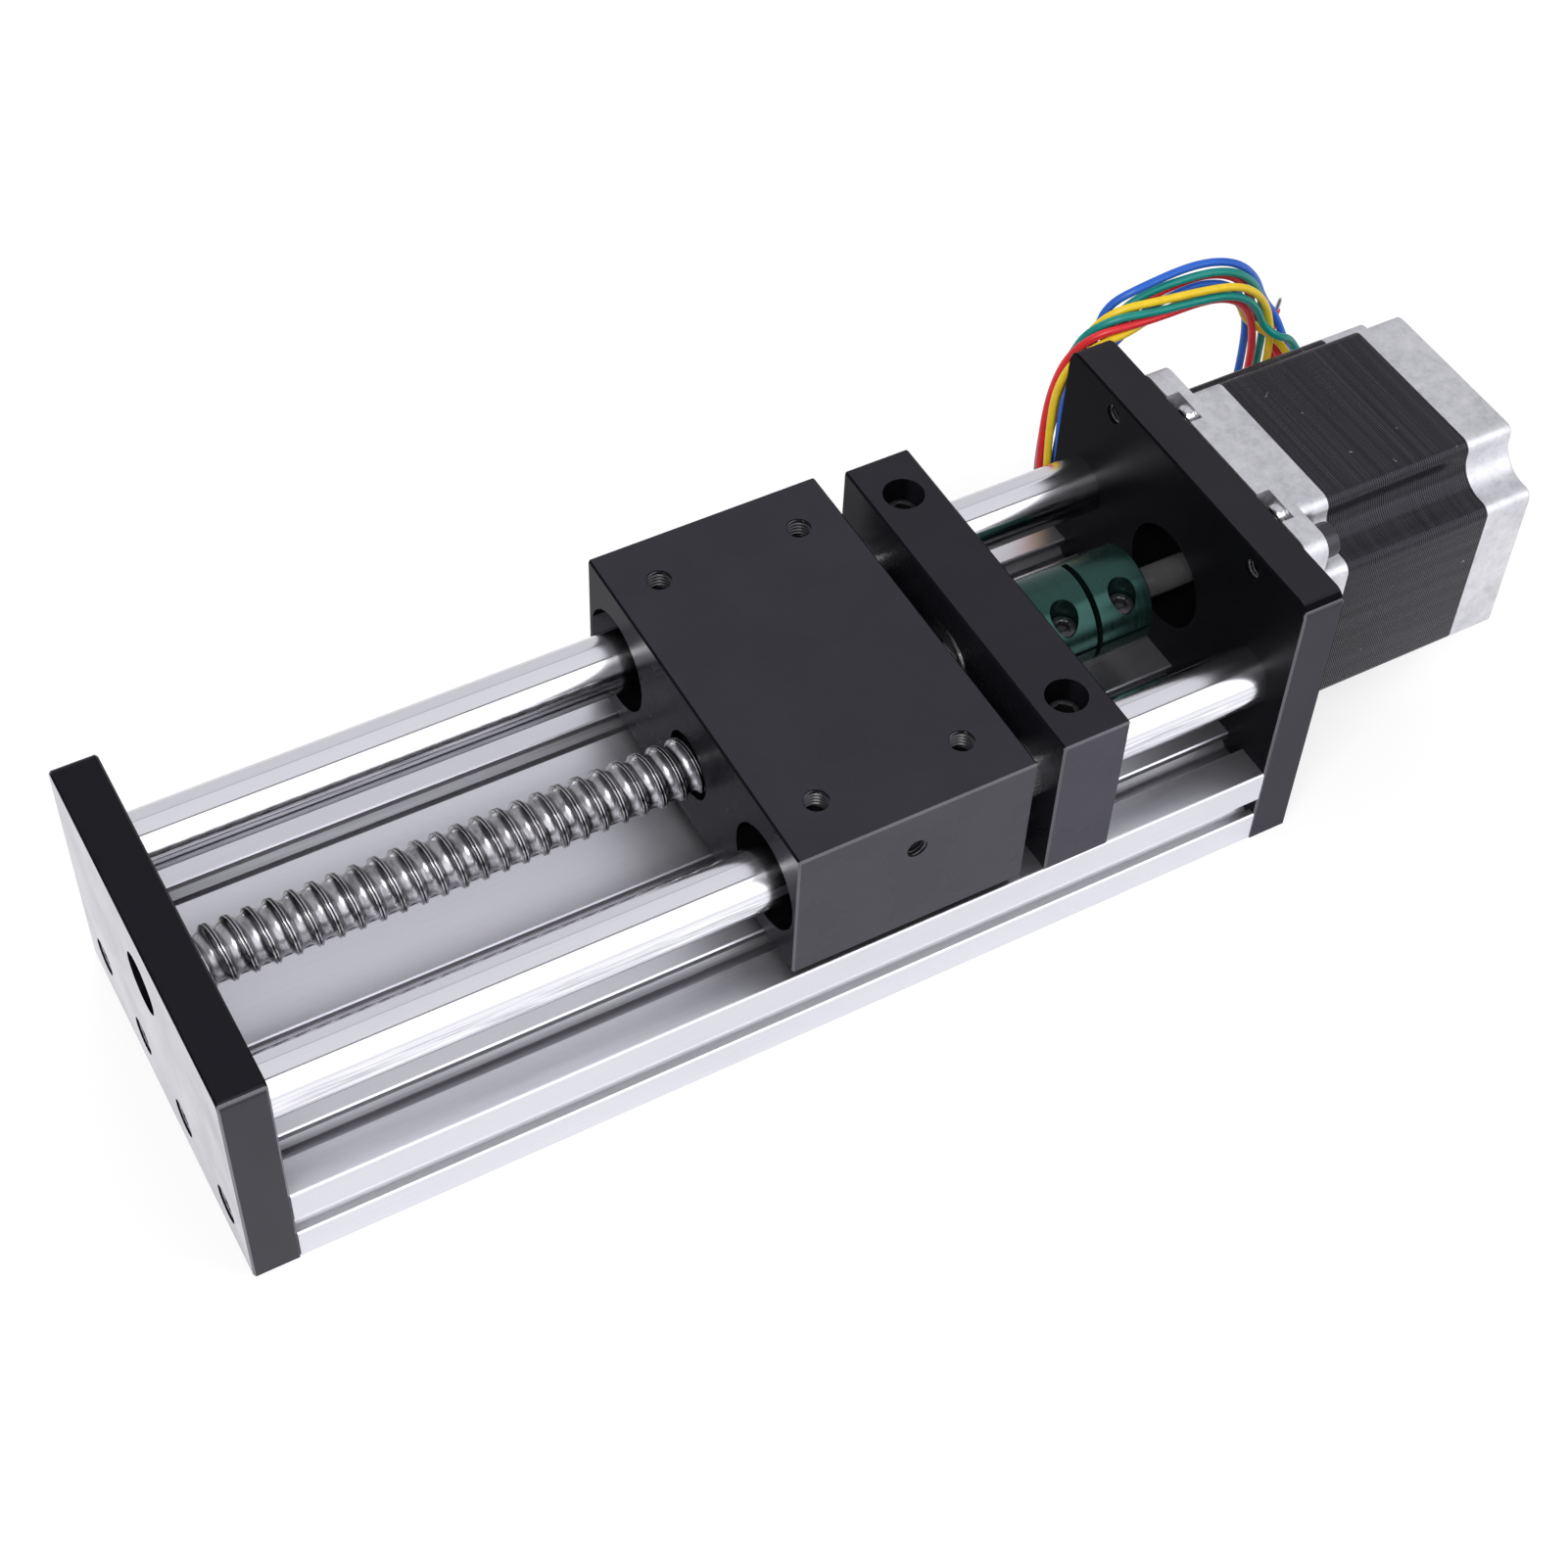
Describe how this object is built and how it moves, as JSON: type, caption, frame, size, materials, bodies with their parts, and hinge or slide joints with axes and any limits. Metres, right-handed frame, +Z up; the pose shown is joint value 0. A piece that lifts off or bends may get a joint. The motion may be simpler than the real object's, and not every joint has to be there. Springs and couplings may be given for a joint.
{
  "type": "ball screw linear module",
  "caption": "Linear stage: a flanged motor turns a ball screw through a clamping coupling, driving a drilled carriage along two round rods between end plates on a slotted aluminium base.",
  "frame": {"origin": "middle of the footprint, on the surface the base stands on", "axes": "+X along the screw towards the motor, +Z up, -Y towards the near side, away from the motor leads"},
  "size_m": [0.278, 0.0897, 0.0714],
  "materials": {
    "clear_anodised": "clear anodised extrusion",
    "black_anodised": "black anodised, satin",
    "chromed_rod": "hard chromed and ground",
    "bearing_steel": "ground",
    "seal_rubber": "moulded",
    "black_screw": "black oxide",
    "bright_screw": "zinc plated",
    "spring_steel": "phosphated",
    "cast_alloy": "die cast, blasted",
    "painted_laminations": "black paint over stacked sheet",
    "rotor_steel": "turned",
    "winding": "enamelled wire",
    "ground_shaft": "ground",
    "ground_screw": "rolled thread",
    "green_anodised": "green anodised, turned",
    "cage_resin": "moulded",
    "insert_resin": "moulded",
    "wiper_resin": "moulded",
    "lead_red": "wire insulation",
    "lead_blue": "wire insulation",
    "lead_yellow": "wire insulation",
    "lead_teal": "wire insulation",
    "lead_bundle": "loop of the four leads"
  },
  "bodies": {
    "frame": {"base_profile": "clear_anodised", "end_plate": "black_anodised", "bearing_block": "black_anodised", "motor_plate": "black_anodised", "guide_rod_near": "chromed_rod", "guide_rod_far": "chromed_rod", "screw_bearing_outer_rings": "bearing_steel", "screw_bearing_seals": "seal_rubber", "end_plate_screws": "black_screw", "motor_plate_screws": "black_screw", "block_screws": "black_screw", "rod_set_screws": "black_screw", "motor_front_cap": "cast_alloy", "motor_stator": "painted_laminations", "motor_rear_cap": "cast_alloy", "motor_windings": "winding", "motor_bearing_outer_rings": "bearing_steel", "motor_mount_screws": "black_screw", "motor_through_screws": "bright_screw", "lead_grommet": "seal_rubber", "lead_red": "lead_red", "lead_blue": "lead_blue", "lead_yellow": "lead_yellow", "lead_teal": "lead_teal", "lead_coil": "lead_bundle"},
    "screw": {"ball_screw": "ground_screw", "screw_bearing_inner_rings": "bearing_steel", "bearing_spacer": "bearing_steel", "preload_collar": "bearing_steel", "shaft_coupling": "green_anodised", "coupling_clamp_screws": "black_screw", "motor_shaft": "ground_shaft", "motor_rotor": "rotor_steel", "motor_bearing_inner_rings": "bearing_steel"},
    "carriage": {"carriage_table": "black_anodised", "linear_bearing_near": "bearing_steel", "linear_bearing_far": "bearing_steel", "linear_bearing_cages": "cage_resin", "linear_bearing_seals": "seal_rubber", "retaining_rings": "spring_steel", "ball_nut": "bearing_steel", "ball_return_inserts": "insert_resin", "nut_wipers": "wiper_resin", "nut_screws": "black_screw"}
  },
  "joints": [
    {"name": "screw_spin", "type": "hinge", "parent": "frame", "child": "screw", "pos_m": [0, 0, 0.039], "axis": [-1, 0, 0], "range_deg": [-8614, 388]},
    {"name": "carriage_slide", "type": "slide", "parent": "frame", "child": "carriage", "axis": [1, 0, 0], "range_m": [-0.0957, 0.0043]}
  ],
  "couplings": [
    {"joint": "screw_spin", "follows": "carriage_slide", "rad_per_m": 1570.8}
  ]
}
